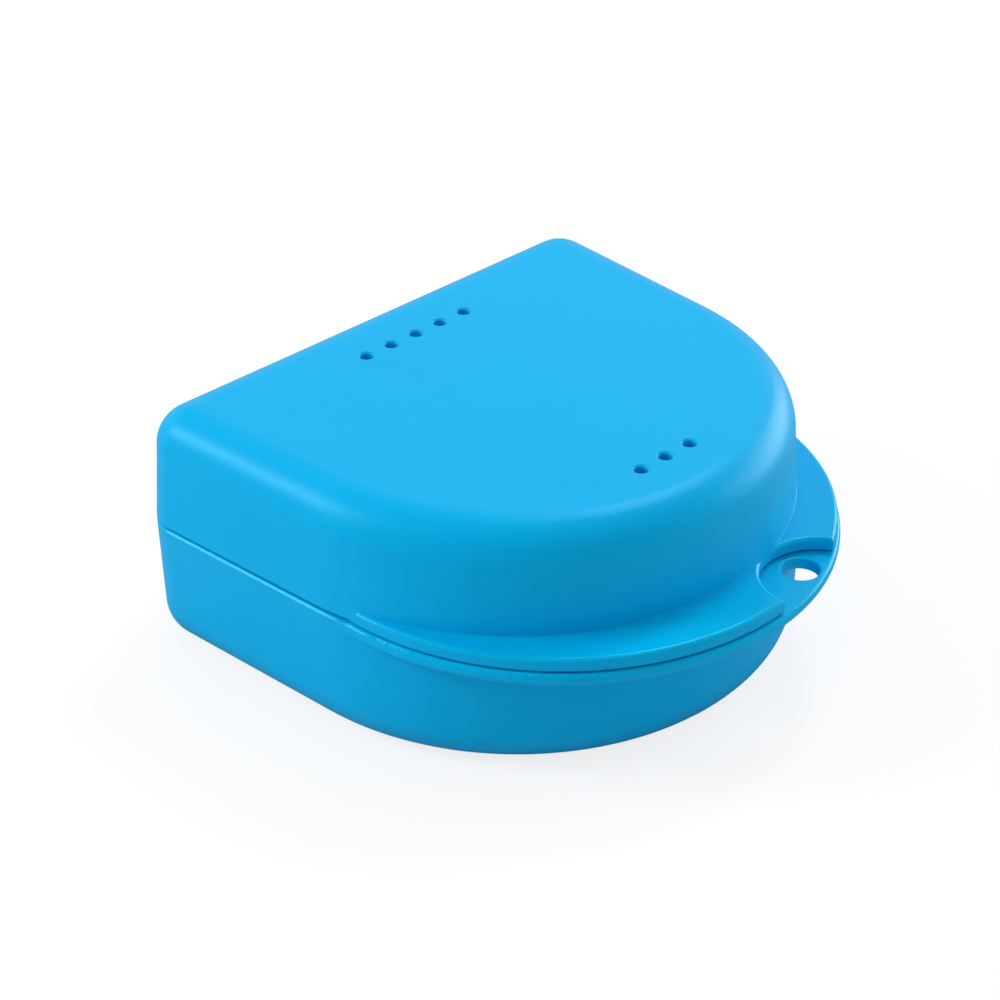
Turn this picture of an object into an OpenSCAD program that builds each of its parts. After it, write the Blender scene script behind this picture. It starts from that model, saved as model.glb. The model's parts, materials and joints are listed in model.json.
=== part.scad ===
// Orthodontic retainer case: a moulded tray and a vented lid on a snap-in hinge.
// Millimetres. +X runs along the hinge, the grip flange is at -Y, +Z is up.
// The origin is on the table, under the middle of the closed case.

/* [Case] */
// Width across the back corners, at the rim
case_width = 81; // [74:1:95]
// Depth of the lid, from its back wall to its front wall
lid_depth = 69.3; // [64:0.1:80]
// Height of the closed case
case_height = 35.6; // [33:0.2:44]
// Height of the tray's rim above the table
tray_height = 18.9; // [16:0.1:22]
// Gap between the two rims when the case is closed
seam_gap = 0.3; // [0.3:0.05:0.5]
// Thickness of the moulded walls
wall = 1.8; // [1.6:0.1:2]
// Thickness of the tray's floor and the lid's top
plate_t = 1.6; // [1.2:0.1:2]

/* [Plan] */
// Radius of the back corners at the rim, which also sets how full the rounded ends are
corner_r = 6.3; // [5.8:0.1:8]
// Angle at which each side of the lid draws in towards the front
lid_taper = 4; // [3.5:0.1:7]
// Angle at which each side of the tray draws in towards the front
tray_taper = 3.7; // [3.2:0.1:4.6]
// Distance by which the tray's front wall stands ahead of the lid's
tray_front_step = 1; // [0.5:0.1:1]

/* [Mould] */
// Draft angle of the lid's walls
lid_draft = 3.9; // [1:0.1:4.5]
// Draft angle of the tray's walls
tray_draft = 1.7; // [1:0.1:3.2]
// Width of the bevel on the outer edges at the parting line
rim_bevel = 0.3; // [0.2:0.05:0.5]

/* [Grip flange] */
// Distance from the lid's front wall to the flange's edge
flange_reach = 7.85; // [7:0.05:10]
// Radius of the flange's edge less that of the lid's front
flange_swell = -0.6; // [-1:0.05:1]
// Thickness of each half of the flange
flange_t = 1.75; // [1.6:0.05:2.5]
// Distance by which the lid's flange stays inside the tray's
flange_inset = 0.5; // [0.2:0.1:1]
// Radius of the flange's edges
flange_edge = 0.6; // [0.3:0.05:0.7]

/* [Tab] */
// Angle of the lanyard hole from the front, round the flange's centre
tab_angle = 20.75; // [0:0.25:30]
// Diameter of the lanyard hole
tab_hole_d = 5; // [3:0.1:5.2]
// Distance from the flange's edge to the hole's centre
tab_hole_inset = 3.5; // [3.3:0.05:3.6]
// Radius of the hole's edges
tab_hole_edge = 0.35; // [0.2:0.05:0.4]
// Angle that the tab takes up on each side of the hole
tab_half = 7.5; // [6:0.5:9]
// Angle of the bite in the lid's flange, round the flange's centre
notch_angle = 16.7; // [0:0.1:26]
// Radius of the bite
notch_r = 8.3; // [6:0.1:8.5]
// Distance from the flange's edge out to the bite's centre
notch_out = 0.6; // [0.4:0.1:2]

/* [Vents] */
// Diameter of a vent
vent_d = 1.8; // [1:0.1:2.5]
// Distance between vents in a row
vent_pitch = 4.58; // [4:0.01:6]
// Vents in the back row
back_vents = 5; // [3:2:7]
// Vents in the front row
front_vents = 3; // [1:2:5]
// Distance from the back wall to the back row
back_row_inset = 11.9; // [11:0.05:16]
// Distance from the lid's front wall to the front row
front_row_inset = 11.15; // [10:0.05:16]
// Width of the bevel round a vent
vent_bevel = 0.25; // [0.1:0.05:0.4]

/* [Rim lip] */
// Height of the lip that locates the lid
lip_height = 1.6; // [1:0.1:2]
// Thickness of the lip
lip_t = 0.65; // [0.5:0.05:0.7]
// Gap between the lip and the lid
lip_gap = 0.2; // [0.2:0.05:0.3]
// Depth of the lip's root below the rim
lip_root = 4; // [3:0.5:6]
// Distance from the back corners to the ends of the lip
lip_end = 3; // [2:0.5:8]

/* [Hinge] */
// Diameter of the lid's trunnions
trunnion_d = 2.2; // [2:0.1:2.6]
// Clearance all round a trunnion
trunnion_gap = 0.05; // [0.02:0.01:0.1]
// Wall round a trunnion's bore
lug_wall = 0.55; // [0.5:0.05:1]
// Gap between the hinge's barrels and the walls and lugs they pass
hinge_gap = 0.3; // [0.3:0.05:0.5]
// Width of each of the lid's knuckles
knuckle_w = 8; // [6:0.5:10]
// Width of each of the tray's lugs
lug_w = 3; // [2.5:0.1:3.5]
// Distance from the middle of the case to the middle of each knuckle
knuckle_x = 25; // [20:0.5:25]

/* [Hidden] */
$fn = 96;

plastic = "#1AA4E2";
// How far a cut runs past the face that it opens
past = 1;
// Larger than the case
far = 200;
// How far the swept walls run on into the flat middle of a shell
shell_lap = 4;
// Angle that the flange's band runs on past a half circle, to die into the walls
flange_wrap = 15;

barrel_r = trunnion_d/2 + trunnion_gap + lug_wall;
hinge_out = barrel_r + hinge_gap;
total_depth = flange_reach + lid_depth + hinge_out + barrel_r;
back_y = total_depth/2 - hinge_out - barrel_r;
lid_front_y = back_y - lid_depth;
lid_rim_z = tray_height + seam_gap;
lid_height = case_height - lid_rim_z;
hinge_y = back_y + hinge_out;
hinge_z = tray_height + seam_gap/2;

// Lengths and angles that runs of wall share are kept to few digits, so that the runs meet exactly
function snap(length) = round(length*1000)/1000;
function snap_angle(angle) = acos(round(cos(angle)*1000000)/1000000);

// Plan of a shell: a straight back, two round corners, sides that draw in, and one arc for the front.
// [corner centre x, corner centre y, taper, front arc radius, length of a side]
function plan(front_y, lean) =
    let (taper = snap_angle(lean))
    let (cx = case_width/2 - corner_r)
    let (cy = back_y - corner_r)
    let (side = cx*cos(taper) - cy*sin(taper) + corner_r)
    let (r = snap((side + front_y*sin(taper))/(1 - sin(taper))))
    let (run = snap(cx*sin(taper) + (cy - front_y - r)*cos(taper)))
    [cx, cy, taper, r, run];

lid_plan = plan(lid_front_y, lid_taper);
tray_plan = plan(lid_front_y - tray_front_step, tray_taper);

flange_r = lid_plan[3] + flange_swell;
flange_y = lid_front_y - flange_reach + flange_r;

// A point at an angle from the front, round the flange's centre
function round_flange(angle, r) = [r*sin(angle), flange_y - r*cos(angle), 0];

// Something that is the same on the left and on the right
module both_sides() {
    children();
    mirror([1, 0, 0]) children();
}

// All of space on one side of an upright plane: x over 0, or y over or under 0
module over_x() translate([0, -far, -far]) cube(2*far);
module over_y() translate([-far, 0, -far]) cube(2*far);
module under_y() translate([-far, -2*far, -far]) cube(2*far);

// The frame of a plan's right side: x points out of the wall, y back along it, from the corner's axis
module side_frame(p) {
    translate([p[0], p[1], 0]) rotate([0, 0, -p[2]]) children();
}

// A wall section swept round the right half of a plan. Its x is 0 on the plan and negative inwards.
// Each run is cut by the plane in which the next one starts.
module front_run(p) {
    side_frame(p)
        translate([corner_r - p[3], -p[4], 0])
            intersection() {
                rotate_extrude() translate([p[3], 0]) children();
                under_y();
            }
}

module side_run(p, trim = 0) {
    side_frame(p)
        translate([corner_r, -trim, 0])
            rotate([90, 0, 0])
                linear_extrude(p[4] - trim) children();
}

module corner_run(p) {
    intersection() {
        translate([p[0], p[1], 0]) rotate_extrude() translate([corner_r, 0]) children();
        translate([p[0], 0, 0]) over_x();
        side_frame(p) over_y();
    }
}

module back_run(p) {
    translate([0, p[1], 0])
        rotate([90, 0, 90])
            translate([corner_r, 0, 0])
                linear_extrude(p[0]) children();
}

// The front and both sides of a plan, with the sides stopped short of the back corners by trim
module front_and_sides(p, trim = 0) {
    both_sides()
        intersection() {
            union() {
                front_run(p) children();
                side_run(p, trim) children();
            }
            over_x();
        }
}

// The flat middle of a plan's right half, inset from the wall: half a disc at the front, a plate behind it
module core(p, inset) {
    side_frame(p)
        translate([corner_r - p[3], -p[4], 0])
            intersection() {
                cylinder(r = p[3] - inset, h = plate_t);
                translate([0, past, 0]) under_y();
            }
    side_frame(p)
        translate([-p[0] + corner_r - inset, -p[4], 0]) cube([p[0], p[4] + corner_r - inset, plate_t]);
}

// The upper right quarter of a disc
module quarter(c, r) {
    intersection() {
        translate(c) circle(r);
        translate(c) square(2*r);
    }
}

// Radius of the round from a drafted wall, which starts at a height, into a flat end at height h.
// The round's centre is on the back corner's own axis, so that a corner ends in a ball.
function end_round(inset, start, h, draft) =
    snap((corner_r - inset - (h - start)*tan(draft))/(1 - tan(draft)));

// Section of the outside of a shell: bevelled rim at height 0, drafted wall, round into the flat end.
// It runs in as far as the corner's axis, and on from there by lap.
module outside_section(h, draft, lap) {
    r = end_round(0, rim_bevel, h, draft);
    round_z = h - r;
    wall_line = [[-rim_bevel, 0], [0, rim_bevel], [r - corner_r, round_z], [-corner_r, h]];
    inner_end = lap > 0 ? [[-corner_r - lap, h]] : [];
    polygon(concat([[-corner_r - lap, 0]], wall_line, inner_end));
    quarter([-corner_r, round_z], r);
}

// Section of the cavity of a shell, opened past its rim
module inside_section(h, draft, lap) {
    r = end_round(wall, 0, h, draft);
    round_z = h - r;
    lean = (corner_r - wall - r)/round_z;
    wall_line = [[-wall + past*lean, -past], [r - corner_r, round_z], [-corner_r, h]];
    inner_end = lap > 0 ? [[-corner_r - lap, h]] : [];
    polygon(concat([[-corner_r - lap, -past]], wall_line, inner_end));
    quarter([-corner_r, round_z], r);
}

module wall_section(height, draft, lap) {
    difference() {
        outside_section(height, draft, lap);
        inside_section(height - plate_t, draft, lap > 0 ? lap + past : 0);
    }
}

// A drafted D-shaped shell that opens downwards, with its rim at height 0
module shell(p, height, draft) {
    both_sides()
        intersection() {
            union() {
                front_run(p) wall_section(height, draft, shell_lap);
                side_run(p) wall_section(height, draft, shell_lap);
                corner_run(p) wall_section(height, draft, 0);
                back_run(p) wall_section(height, draft, shell_lap);
                translate([0, 0, height - plate_t]) core(p, corner_r + shell_lap/2);
            }
            over_x();
        }
}

// What is cut away to round an edge: way is 1 for an upper edge, -1 for a lower one
module edge_cut(e, way) {
    difference() {
        translate([0, way > 0 ? -e : -past]) square([e + past, e + past]);
        translate([0, -way*e]) circle(e);
    }
}

// Half of the crescent grip flange: a band round the flange's centre, less what is inside its shell
module flange(p, r, round_low) {
    band = flange_reach + 2*wall;
    module inside_wall() {
        translate([-2*band, -past]) square([2*band - wall/2, flange_t + 2*past]);
    }
    difference() {
        translate([0, flange_y, 0])
            rotate([0, 0, 180 - flange_wrap])
                rotate_extrude(angle = 180 + 2*flange_wrap)
                    difference() {
                        translate([r - band, 0]) square([band, flange_t]);
                        translate([r - flange_edge, flange_t]) edge_cut(flange_edge, 1);
                        if (round_low) translate([r - flange_edge, 0]) edge_cut(flange_edge, -1);
                    }
        front_and_sides(p) inside_wall();
    }
}

// The wedge of space, seen from the flange's centre, that the tab takes up
module tab_wedge() {
    translate([0, flange_y, 0])
        intersection() {
            rotate([0, 0, tab_angle - tab_half]) over_x();
            rotate([0, 0, tab_angle + tab_half]) mirror([1, 0, 0]) over_x();
        }
}

// A round cut through the flange that rounds over the edges it leaves
module rounded_cut(r, e, round_low) {
    rotate_extrude() {
        translate([0, -past]) square([r, flange_t + 2*past]);
        difference() {
            translate([0, flange_t - e]) square([r + e, e + past]);
            translate([r + e, flange_t - e]) circle(e);
        }
        if (round_low)
            difference() {
                translate([0, -past]) square([r + e, e + past]);
                translate([r + e, e]) circle(e);
            }
    }
}

// The lip on the tray's rim that stands inside the lid, with a ramp under it down the tray's wall
module lip_profile() {
    root = wall/4;
    polygon([
        [-wall, lip_height],
        [-wall + lip_t, lip_height],
        [-wall + lip_t, 0],
        [-root, -lip_t],
        [-root, -lip_root],
        [-wall/2, -lip_root],
        [-wall, -lip_t]
    ]);
}

module lip() {
    front_and_sides(lid_plan, lip_end) lip_profile();
}

// The step inside the lid's rim that takes the lip
module lip_step() {
    depth = lip_t + lip_gap + past;
    module step_profile() {
        translate([-wall - past, -past]) square([depth, past + lip_height + lip_gap]);
    }
    front_and_sides(lid_plan, lip_end - past) step_profile();
}

// A solid along the hinge between two distances from the middle
module along_hinge(from, to) {
    translate([from, hinge_y, hinge_z])
        rotate([90, 0, 90])
            linear_extrude(to - from) children();
}

// Section of a hinge barrel with its web to the wall: way is 1 on the lid, -1 on the tray
module barrel_section(way) {
    reach = hinge_out + wall/2;
    rise = barrel_r + hinge_out;
    circle(barrel_r);
    polygon([
        [0, way*seam_gap/2],
        [-reach, way*seam_gap/2],
        [-reach, way*rise],
        [-hinge_out, way*rise],
        [0, way*barrel_r]
    ]);
}

// One vent through the lid's top, with a bevel at its mouth
module vent() {
    translate([0, 0, -past]) cylinder(d = vent_d, h = plate_t + 2*past);
    translate([0, 0, plate_t - vent_bevel])
        cylinder(d1 = vent_d, d2 = vent_d + 2*(vent_bevel + past), h = vent_bevel + past);
}

module vent_row(count, y) {
    for (i = [0 : count - 1])
        translate([(i - (count - 1)/2)*vent_pitch, y, case_height - plate_t]) vent();
}

module base_tray() {
    lug_in = knuckle_w/2 + hinge_gap;
    lug_out = lug_in + lug_w;
    color(plastic)
        difference() {
            union() {
                translate([0, 0, tray_height])
                    rotate([0, 180, 0])
                        shell(tray_plan, tray_height, tray_draft);
                translate([0, 0, tray_height - flange_t])
                    difference() {
                        flange(tray_plan, flange_r, true);
                        tab_wedge();
                    }
                translate([0, 0, tray_height]) lip();
                both_sides() {
                    along_hinge(knuckle_x - lug_out, knuckle_x - lug_in) barrel_section(-1);
                    along_hinge(knuckle_x + lug_in, knuckle_x + lug_out) barrel_section(-1);
                }
            }
            both_sides()
                along_hinge(knuckle_x - lug_out - past, knuckle_x + lug_out + past)
                    circle(d = trunnion_d + 2*trunnion_gap);
        }
}

// The part of the tray's flange round the lanyard hole, from the tray's wall out
module lanyard_tab() {
    color(plastic)
        difference() {
            translate([0, 0, tray_height - flange_t])
                difference() {
                    intersection() {
                        flange(tray_plan, flange_r, true);
                        tab_wedge();
                    }
                    translate(round_flange(tab_angle, flange_r - tab_hole_inset))
                        rounded_cut(tab_hole_d/2, tab_hole_edge, true);
                }
            translate([0, 0, tray_height])
                rotate([0, 180, 0])
                    front_run(tray_plan) outside_section(tray_height, tray_draft, shell_lap);
        }
}

module hinged_lid() {
    tip = knuckle_w/2 + hinge_gap + lug_w;
    color(plastic)
        difference() {
            union() {
                translate([0, 0, lid_rim_z])
                    shell(lid_plan, lid_height, lid_draft);
                translate([0, 0, lid_rim_z])
                    difference() {
                        flange(lid_plan, flange_r - flange_inset, false);
                        translate(round_flange(notch_angle, flange_r + notch_out))
                            rounded_cut(notch_r, flange_edge, false);
                    }
                both_sides() {
                    along_hinge(knuckle_x - knuckle_w/2, knuckle_x + knuckle_w/2) barrel_section(1);
                    along_hinge(knuckle_x - tip, knuckle_x + tip) circle(d = trunnion_d);
                }
            }
            translate([0, 0, lid_rim_z]) lip_step();
            vent_row(back_vents, back_y - back_row_inset);
            vent_row(front_vents, lid_front_y + front_row_inset);
        }
}

base_tray();
lanyard_tab();
hinged_lid();
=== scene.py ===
"""Orthodontic retainer case in moulded polypropylene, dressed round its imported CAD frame."""

import json
import math

import bpy
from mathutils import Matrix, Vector
from mathutils.bvhtree import BVHTree


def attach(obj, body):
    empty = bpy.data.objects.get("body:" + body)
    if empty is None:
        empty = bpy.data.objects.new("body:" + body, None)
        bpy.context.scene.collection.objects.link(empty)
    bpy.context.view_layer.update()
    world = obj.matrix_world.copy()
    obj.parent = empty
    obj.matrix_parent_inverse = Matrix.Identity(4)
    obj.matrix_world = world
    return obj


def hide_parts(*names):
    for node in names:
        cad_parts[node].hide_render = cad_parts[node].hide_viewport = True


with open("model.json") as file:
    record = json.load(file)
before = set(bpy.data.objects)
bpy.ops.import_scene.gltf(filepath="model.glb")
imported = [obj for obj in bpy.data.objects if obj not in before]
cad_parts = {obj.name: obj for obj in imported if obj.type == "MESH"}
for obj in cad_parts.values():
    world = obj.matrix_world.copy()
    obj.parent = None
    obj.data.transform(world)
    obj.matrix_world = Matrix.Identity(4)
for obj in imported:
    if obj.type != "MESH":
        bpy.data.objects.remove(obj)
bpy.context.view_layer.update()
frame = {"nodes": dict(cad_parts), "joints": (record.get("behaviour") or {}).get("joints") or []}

bl_info = {
    "name": "Retainer case",
    "version": (1, 0, 0),
    "blender": (4, 5, 0),
    "location": "View3D > Sidebar > Retainer case",
    "description": "Builds a hinged retainer case with its satin plastic, and a plain studio round it",
    "category": "Object",
}

MM = 0.001

# Half height of the band along the seam that holds both flanges, and the least upward lean of a polished
# face; these faces also get a lighter colour, which is painted light that lifts the lid's shade on the
# flanges
RIM_REACH = 2.2*MM
RIM_TILT = 0.2

# Gap under which faces of two pieces count as touching, cosine under which they count as face to face, and
# how far such a face is sunk before the union
TOUCH = 0.03*MM
FACING = -0.95
SINK = 0.01*MM

# Skins: distance under which corners are one, size of specks to drop, bend that still counts as flat, and the
# bend from which an edge stays sharp
WELD = 0.0005*MM
SPECK = 0.002*MM
FLAT = math.radians(0.3)
CREASE = math.radians(40)

# Plastic: names of its two skins, strength of their grain, depth of a grain, width of the dye's clouds, how
# far the grain takes the roughness below and above its middle, refraction, and level of the sheen
SATIN = "polypropylene_satin_moulded"
# The polished skin also carries painted light: a lighter colour that lifts the lid's shade on the flanges
POLISHED_PAINTED_LIGHTER = "polypropylene_polished_moulded"
SATIN_RELIEF = 0.5
POLISHED_RELIEF = 0.15
GRAIN_DEPTH = 0.05*MM
DYE_CLOUD = 18*MM
SMOOTHER = 0.05
ROUGHER = 0.07
POLYPROPYLENE_IOR = 1.49
SHEEN_LEVEL = 0.25

# Camera's sensor in millimetres, and its clipping distances and the floor's width in metres
SENSOR = 36
CLIP_NEAR = 0.01
CLIP_FAR = 20
FLOOR_WIDTH = 4

# Softboxes: name, place, point that they face and size, in metres, and the setting that holds their power
SOFTBOXES = (
    ("overhead_softbox", (-0.1, 0.15, 0.8), (0, 0, 0), (1.2, 1.2), "key_power"),
    ("left_softbox", (-0.58, 0.53, 0.46), (0, 0, 0.02), (0.3, 0.3), "side_power"),
    ("right_softbox", (0.4, 0.12, 0.68), (0, 0, 0.03), (0.2, 0.2), "right_power"),
    ("right_card", (0.6, -0.12, 0.16), (0, 0, 0.02), (0.5, 0.3), "card_power"),
)


def linear(hex_colour):
    """Turns an sRGB hex colour into linear red, green, blue and alpha."""
    channels = [int(hex_colour[i:i + 2], 16)/255 for i in (1, 3, 5)]
    return [c/12.92 if c <= 0.04045 else ((c + 0.055)/1.055)**2.4 for c in channels] + [1.0]


class CaseSettings(bpy.types.PropertyGroup):
    """Colours and surface of the plastic."""

    colour: bpy.props.FloatVectorProperty(
        name="Plastic", description="Colour of the dyed polypropylene", subtype="COLOR",
        size=4, min=0, max=1, default=linear("#00B0EA"))
    deep_colour: bpy.props.FloatVectorProperty(
        name="Plastic, deeper", description="Colour where the dye has mixed a little darker",
        subtype="COLOR", size=4, min=0, max=1, default=linear("#00ABE6"))
    # Painted light: the polished rims and flanges get a lighter colour than the satin, to lift the shade that
    # the lid casts on the flanges
    rim_colour_painted_lighter: bpy.props.FloatVectorProperty(
        name="Plastic, polished", description="Colour of the clearer, polished skin of the rims and flanges",
        subtype="COLOR", size=4, min=0, max=1, default=linear("#00BAEA"))
    sheen_colour: bpy.props.FloatVectorProperty(
        name="Sheen", description="Tint that the dye under the skin gives its soft highlights",
        subtype="COLOR", size=4, min=0, max=1, default=linear("#80E8FF"))
    grain: bpy.props.FloatProperty(
        name="Mould grain", description="Width of a grain of the spark-eroded mould", unit="LENGTH",
        default=0.25*MM, min=0.05*MM, max=2*MM, precision=5)
    gloss: bpy.props.FloatProperty(
        name="Roughness", description="Roughness of the satin skin", subtype="FACTOR",
        default=0.33, min=0, max=1)
    rim_gloss: bpy.props.FloatProperty(
        name="Rim roughness", description="Roughness of the polished rims and flanges", subtype="FACTOR",
        default=0.22, min=0, max=1)
    edge: bpy.props.FloatProperty(
        name="Edge radius", description="Radius that the mould leaves on sharp edges", unit="LENGTH",
        default=0.24*MM, min=0.02*MM, max=0.5*MM, precision=5)


class StudioSettings(bpy.types.PropertyGroup):
    """Camera, lamps and floor."""

    azimuth: bpy.props.FloatProperty(
        name="Azimuth", description="Camera's angle round the case from its front", subtype="ANGLE",
        default=math.radians(-44.808))
    elevation: bpy.props.FloatProperty(
        name="Elevation", description="Camera's angle above the table", subtype="ANGLE",
        default=math.radians(31.946))
    distance: bpy.props.FloatProperty(
        name="Distance", description="From the camera to the point it looks at", unit="LENGTH",
        default=349.42*MM)
    target: bpy.props.FloatVectorProperty(
        name="Target", description="Point that the camera looks at", subtype="TRANSLATION", unit="LENGTH",
        size=3, default=(-5.35*MM, 3.03*MM, 20.5*MM))
    lens: bpy.props.FloatProperty(
        name="Lens", description="Focal length on a sensor 36 mm wide", subtype="DISTANCE_CAMERA",
        default=93.6)
    floor_colour: bpy.props.FloatVectorProperty(
        name="Floor", description="Colour of the paper sweep", subtype="COLOR",
        size=4, min=0, max=1, default=linear("#FFFFFF"))
    key_power: bpy.props.FloatProperty(
        name="Key", description="Power of the overhead softbox", subtype="POWER", default=0.5)
    side_power: bpy.props.FloatProperty(
        name="Side", description="Power of the softbox on the left", subtype="POWER", default=4.1)
    right_power: bpy.props.FloatProperty(
        name="Right", description="Power of the small softbox high on the right",
        subtype="POWER", default=1.5)
    card_power: bpy.props.FloatProperty(
        name="Card", description="Power of the low white card on the right", subtype="POWER", default=2.0)
    sky: bpy.props.FloatProperty(
        name="Room light", description="Strength of the light from all round", default=0.55, min=0, max=2)
    shade: bpy.props.FloatProperty(
        name="Shadow", description="How much of the case's shadow the white floor shows", subtype="FACTOR",
        default=0.2, min=0, max=1)
    bounce_colour: bpy.props.FloatVectorProperty(
        name="Floor's bounce", description="Colour of the floor as the case itself sees it",
        subtype="COLOR", size=4, min=0, max=1, default=linear("#D8D8D8"))
    gleam_colour: bpy.props.FloatVectorProperty(
        name="Floor's gleam", description="Colour of the floor as the case's skin mirrors it",
        subtype="COLOR", size=4, min=0, max=1, default=linear("#888888"))


def add_node(tree, kind, links=None, **settings):
    """Adds a shader node, with settings by name, sockets by "in_" and their name, and links by socket."""
    node = tree.nodes.new(kind)
    for name, value in settings.items():
        if name.startswith("in_"):
            node.inputs[name[3:].replace("_", " ")].default_value = value
        else:
            setattr(node, name, value)
    for socket, source in (links or {}).items():
        tree.links.new(source, node.inputs[socket])
    return node


def new_material(name):
    """An empty material and its node tree."""
    material = bpy.data.materials.new(name)
    material.use_nodes = True
    material.node_tree.nodes.clear()
    return material, material.node_tree


def moulded_polypropylene(name, case, colour, gloss, relief):
    """Dyed polypropylene from a spark-eroded mould: a satin skin with a fine grain that breaks highlights.
    Where the mould is polished, on the rims and flanges, the same plastic is smoother and its edges gleam;
    there it is also given a lighter colour, which is painted light that lifts the lid's shade on the flanges.
    The grain is drawn about three times coarser than the real one, so that it shows in the render."""
    material, tree = new_material(name)
    place = add_node(tree, "ShaderNodeTexCoord")
    fine = add_node(tree, "ShaderNodeTexNoise", {"Vector": place.outputs["Object"]},
                    in_Scale=1/case.grain, in_Detail=3.0, in_Roughness=0.6)
    broad = add_node(tree, "ShaderNodeTexNoise", {"Vector": place.outputs["Object"]},
                     in_Scale=1/DYE_CLOUD, in_Detail=2.0, in_Roughness=0.5)
    dye = add_node(tree, "ShaderNodeMix", {"Factor": broad.outputs["Fac"]}, data_type="RGBA")
    dye.inputs["A"].default_value = colour
    dye.inputs["B"].default_value = case.deep_colour
    skin = add_node(tree, "ShaderNodeMapRange", {"Value": fine.outputs["Fac"]},
                    in_To_Min=gloss - SMOOTHER, in_To_Max=gloss + ROUGHER)
    edges = add_node(tree, "ShaderNodeBevel", samples=8, in_Radius=case.edge)
    grain = add_node(tree, "ShaderNodeBump",
                     {"Height": fine.outputs["Fac"], "Normal": edges.outputs["Normal"]},
                     in_Strength=relief, in_Distance=GRAIN_DEPTH)
    plastic = add_node(tree, "ShaderNodeBsdfPrincipled",
                       {"Base Color": dye.outputs["Result"], "Roughness": skin.outputs["Result"],
                        "Normal": grain.outputs["Normal"]},
                       in_IOR=POLYPROPYLENE_IOR, in_Specular_IOR_Level=SHEEN_LEVEL,
                       in_Specular_Tint=case.sheen_colour)
    add_node(tree, "ShaderNodeOutputMaterial", {"Surface": plastic.outputs["BSDF"]})
    return material


def skin_materials(case):
    """The satin and the polished plastic, made once for both mouldings; the polished one's lighter colour is
    painted light on the rims and flanges.
    """
    satin = bpy.data.materials.get(SATIN)
    polished = bpy.data.materials.get(POLISHED_PAINTED_LIGHTER)
    if satin is None:
        satin = moulded_polypropylene(SATIN, case, case.colour, case.gloss, SATIN_RELIEF)
        # The polished material's lighter colour is painted light on the rims and flanges
        polished = moulded_polypropylene(POLISHED_PAINTED_LIGHTER, case, case.rim_colour_painted_lighter, case.rim_gloss, POLISHED_RELIEF)
    return satin, polished


def select_only(piece):
    """Makes a piece the only selected one, and the active one."""
    bpy.ops.object.select_all(action="DESELECT")
    piece.select_set(True)
    bpy.context.view_layer.objects.active = piece


def joined_copy(node_name, name):
    """A copy of a CAD node in one skin."""
    node = frame["nodes"][node_name]
    piece = bpy.data.objects.new(name, node.data.copy())
    piece.data.name = name
    bpy.context.scene.collection.objects.link(piece)
    select_only(piece)
    bpy.ops.object.mode_set(mode="EDIT")
    bpy.ops.mesh.select_all(action="SELECT")
    bpy.ops.mesh.remove_doubles(threshold=WELD)
    bpy.ops.object.mode_set(mode="OBJECT")
    return piece


def sink_contacts(bit, piece):
    """Pushes the faces of a bit that touch a piece a hair into it, so that no wall stays in their union."""
    skin = BVHTree.FromPolygons([corner.co for corner in piece.data.vertices],
                                [face.vertices for face in piece.data.polygons])
    pushes = {}
    for face in bit.data.polygons:
        place, normal = skin.find_nearest(face.center, TOUCH)[:2]
        if place is not None and normal.dot(face.normal) < FACING:
            for corner in face.vertices:
                pushes.setdefault(corner, Vector())
                pushes[corner] += face.normal
    for corner, push in pushes.items():
        bit.data.vertices[corner].co += push.normalized()*SINK


def unite(piece, bit):
    """Joins a bit to the piece that it touches, and removes the bit."""
    sink_contacts(bit, piece)
    join = piece.modifiers.new("join", "BOOLEAN")
    join.operation = "UNION"
    join.solver = "EXACT"
    join.object = bit
    select_only(piece)
    bpy.ops.object.modifier_apply(modifier=join.name)
    bpy.data.objects.remove(bit)


def polish_rims_painted_lighter(piece):
    """Gives the second material to the faces that look up along the seam: the rims and the flanges' tops.
    That material is polished, and its lighter colour is painted light that lifts the lid's shade on these
    faces.
    """
    seam = frame["joints"][0]["pos_m"][2]
    for face in piece.data.polygons:
        near = abs(face.center.z - seam) < RIM_REACH
        if near and face.normal.z > RIM_TILT:
            # Up-facing faces near the seam get the polished material, whose lighter colour is painted light
            face.material_index = 1


def finish_moulding(name, body, node_names):
    """Makes the finished piece from its CAD nodes: one skin with even shading, satin with polished rims whose
    lighter colour is painted light.
    """
    piece = joined_copy(node_names[0], name)
    for node_name in node_names[1:]:
        unite(piece, joined_copy(node_name, "extra"))
    select_only(piece)
    bpy.ops.object.mode_set(mode="EDIT")
    bpy.ops.mesh.select_all(action="SELECT")
    bpy.ops.mesh.dissolve_degenerate(threshold=SPECK)
    bpy.ops.mesh.dissolve_limited(angle_limit=FLAT)
    bpy.ops.object.mode_set(mode="OBJECT")
    bpy.ops.mesh.customdata_custom_splitnormals_clear()
    bpy.ops.object.shade_smooth_by_angle(angle=CREASE)
    even = piece.modifiers.new("even_shading", "WEIGHTED_NORMAL")
    even.keep_sharp = True
    piece.data.materials.clear()
    for material in skin_materials(bpy.context.scene.retainer_case):
        piece.data.materials.append(material)
    polish_rims_painted_lighter(piece)
    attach(piece, body)
    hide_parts(*node_names)


class CASE_OT_tray(bpy.types.Operator):
    """Finish the base tray with its flange, lip and hinge lugs"""

    bl_idname = "retainer_case.tray"
    bl_label = "Base tray"

    def execute(self, context):
        finish_moulding("tray_moulding", "tray", ["base_tray", "lanyard_tab"])
        return {"FINISHED"}


class CASE_OT_lid(bpy.types.Operator):
    """Finish the hinged lid with its vents, flange and knuckles"""

    bl_idname = "retainer_case.lid"
    bl_label = "Hinged lid"

    def execute(self, context):
        finish_moulding("lid_moulding", "lid", ["hinged_lid"])
        return {"FINISHED"}


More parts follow.
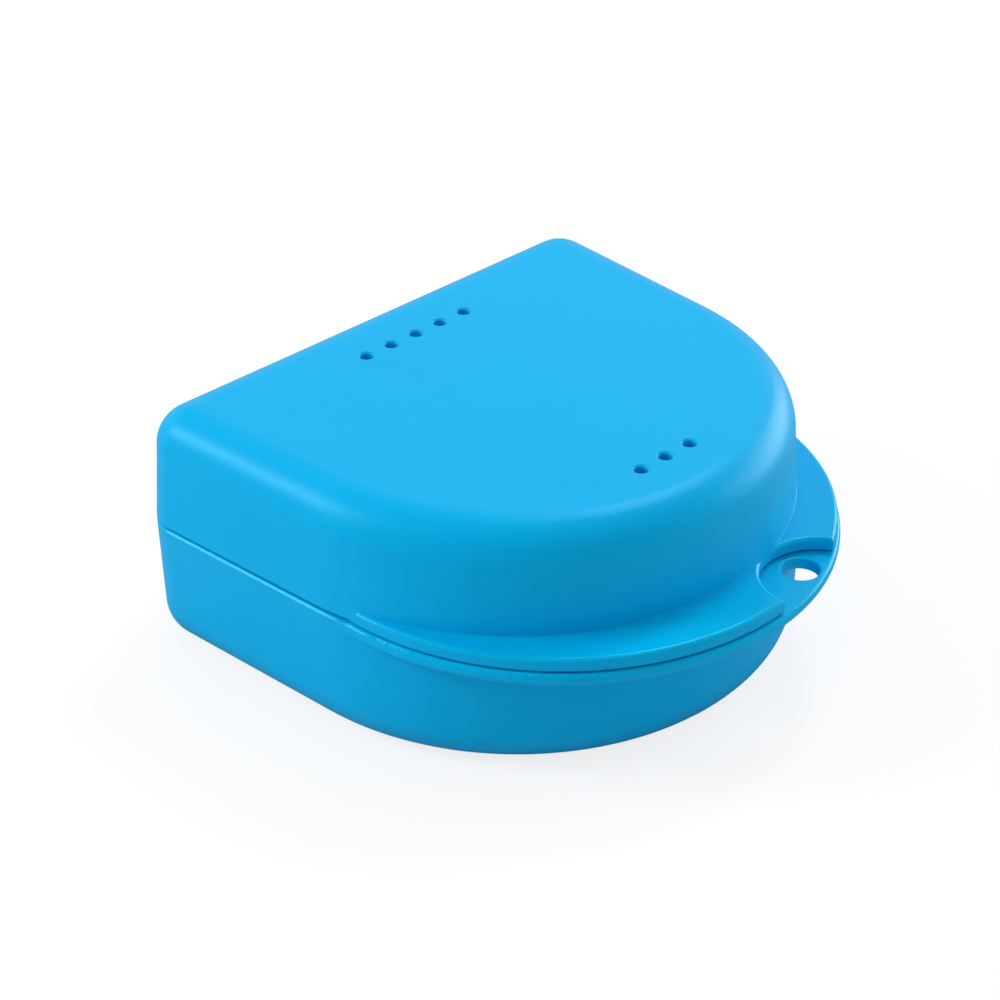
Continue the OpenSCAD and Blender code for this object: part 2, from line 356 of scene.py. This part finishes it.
def place_camera(scene, studio):
    """Sets the camera at its angles and distance from the target."""
    around, above = studio.azimuth, studio.elevation
    back = Vector((math.sin(around)*math.cos(above), -math.cos(around)*math.cos(above), math.sin(above)))
    camera = bpy.data.cameras.new("camera")
    camera.lens = studio.lens
    camera.sensor_width = SENSOR
    camera.sensor_fit = "HORIZONTAL"
    camera.clip_start = CLIP_NEAR
    camera.clip_end = CLIP_FAR
    eye = bpy.data.objects.new("camera", camera)
    eye.location = Vector(studio.target) + back*studio.distance
    eye.rotation_euler = (-back).to_track_quat("-Z", "Y").to_euler()
    scene.collection.objects.link(eye)
    scene.camera = eye


def white_paper_sweep(studio):
    """Matt white paper: plain white to the camera with a faint shadow, greyer where the case mirrors it."""
    material, tree = new_material("white_paper_sweep")
    path = add_node(tree, "ShaderNodeLightPath")
    paper = add_node(tree, "ShaderNodeBsdfDiffuse", in_Color=studio.floor_colour)
    glow = add_node(tree, "ShaderNodeEmission", in_Color=studio.floor_colour)
    seen = add_node(tree, "ShaderNodeMixShader", {1: glow.outputs["Emission"], 2: paper.outputs["BSDF"]},
                    in_Fac=studio.shade)
    tone = add_node(tree, "ShaderNodeMix", {"Factor": path.outputs["Is Glossy Ray"]}, data_type="RGBA")
    tone.inputs["A"].default_value = studio.bounce_colour
    tone.inputs["B"].default_value = studio.gleam_colour
    bounce = add_node(tree, "ShaderNodeBsdfDiffuse", {"Color": tone.outputs["Result"]})
    both = add_node(tree, "ShaderNodeMixShader",
                    {"Fac": path.outputs["Is Camera Ray"], 1: bounce.outputs["BSDF"],
                     2: seen.outputs["Shader"]})
    add_node(tree, "ShaderNodeOutputMaterial", {"Surface": both.outputs["Shader"]})
    return material


def softbox(name, place, aim, size, power):
    """An area lamp that hangs at a place and points at another."""
    lamp = bpy.data.lights.new(name, "AREA")
    lamp.shape = "RECTANGLE"
    lamp.size, lamp.size_y = size
    lamp.energy = power
    holder = bpy.data.objects.new(name, lamp)
    holder.location = place
    holder.rotation_euler = (Vector(aim) - Vector(place)).to_track_quat("-Z", "Y").to_euler()
    bpy.context.scene.collection.objects.link(holder)


def white_room(studio):
    """Even light from all round, and plain white where the camera sees past the floor."""
    world = bpy.data.worlds.new("white_room")
    world.use_nodes = True
    tree = world.node_tree
    tree.nodes.clear()
    path = add_node(tree, "ShaderNodeLightPath")
    strength = add_node(tree, "ShaderNodeMapRange", {"Value": path.outputs["Is Camera Ray"]},
                        in_To_Min=studio.sky, in_To_Max=1.0)
    room = add_node(tree, "ShaderNodeBackground", {"Strength": strength.outputs["Result"]},
                    in_Color=(1, 1, 1, 1))
    add_node(tree, "ShaderNodeOutputWorld", {"Surface": room.outputs["Background"]})
    return world


class CASE_OT_studio(bpy.types.Operator):
    """Set the camera, the softboxes and the white paper floor"""

    bl_idname = "retainer_case.studio"
    bl_label = "Studio"

    def execute(self, context):
        scene = context.scene
        studio = scene.retainer_studio
        place_camera(scene, studio)
        bpy.ops.object.select_all(action="DESELECT")
        bpy.ops.mesh.primitive_plane_add(size=FLOOR_WIDTH)
        floor = context.active_object
        floor.name = "paper_floor"
        floor.data.materials.append(white_paper_sweep(studio))
        for name, place, aim, size, power in SOFTBOXES:
            softbox(name, place, aim, size, getattr(studio, power))
        scene.world = white_room(studio)
        scene.view_settings.view_transform = "Standard"
        return {"FINISHED"}


class CASE_PT_panel(bpy.types.Panel):
    """Buttons and settings of the retainer case"""

    bl_idname = "CASE_PT_panel"
    bl_label = "Retainer case"
    bl_space_type = "VIEW_3D"
    bl_region_type = "UI"
    bl_category = "Retainer case"

    def draw(self, context):
        for step in STEPS:
            self.layout.operator(step.bl_idname)
        for settings in (context.scene.retainer_case, context.scene.retainer_studio):
            box = self.layout.box()
            for name in settings.__annotations__:
                box.prop(settings, name)


STEPS = (CASE_OT_tray, CASE_OT_lid, CASE_OT_studio)
CLASSES = (CaseSettings, StudioSettings) + STEPS + (CASE_PT_panel,)


def register():
    for cls in CLASSES:
        bpy.utils.register_class(cls)
    bpy.types.Scene.retainer_case = bpy.props.PointerProperty(type=CaseSettings)
    bpy.types.Scene.retainer_studio = bpy.props.PointerProperty(type=StudioSettings)


def unregister():
    del bpy.types.Scene.retainer_studio
    del bpy.types.Scene.retainer_case
    for cls in reversed(CLASSES):
        bpy.utils.unregister_class(cls)


def main():
    register()
    bpy.ops.retainer_case.tray()
    bpy.ops.retainer_case.lid()
    bpy.ops.retainer_case.studio()


if __name__ == "__main__":
    main()
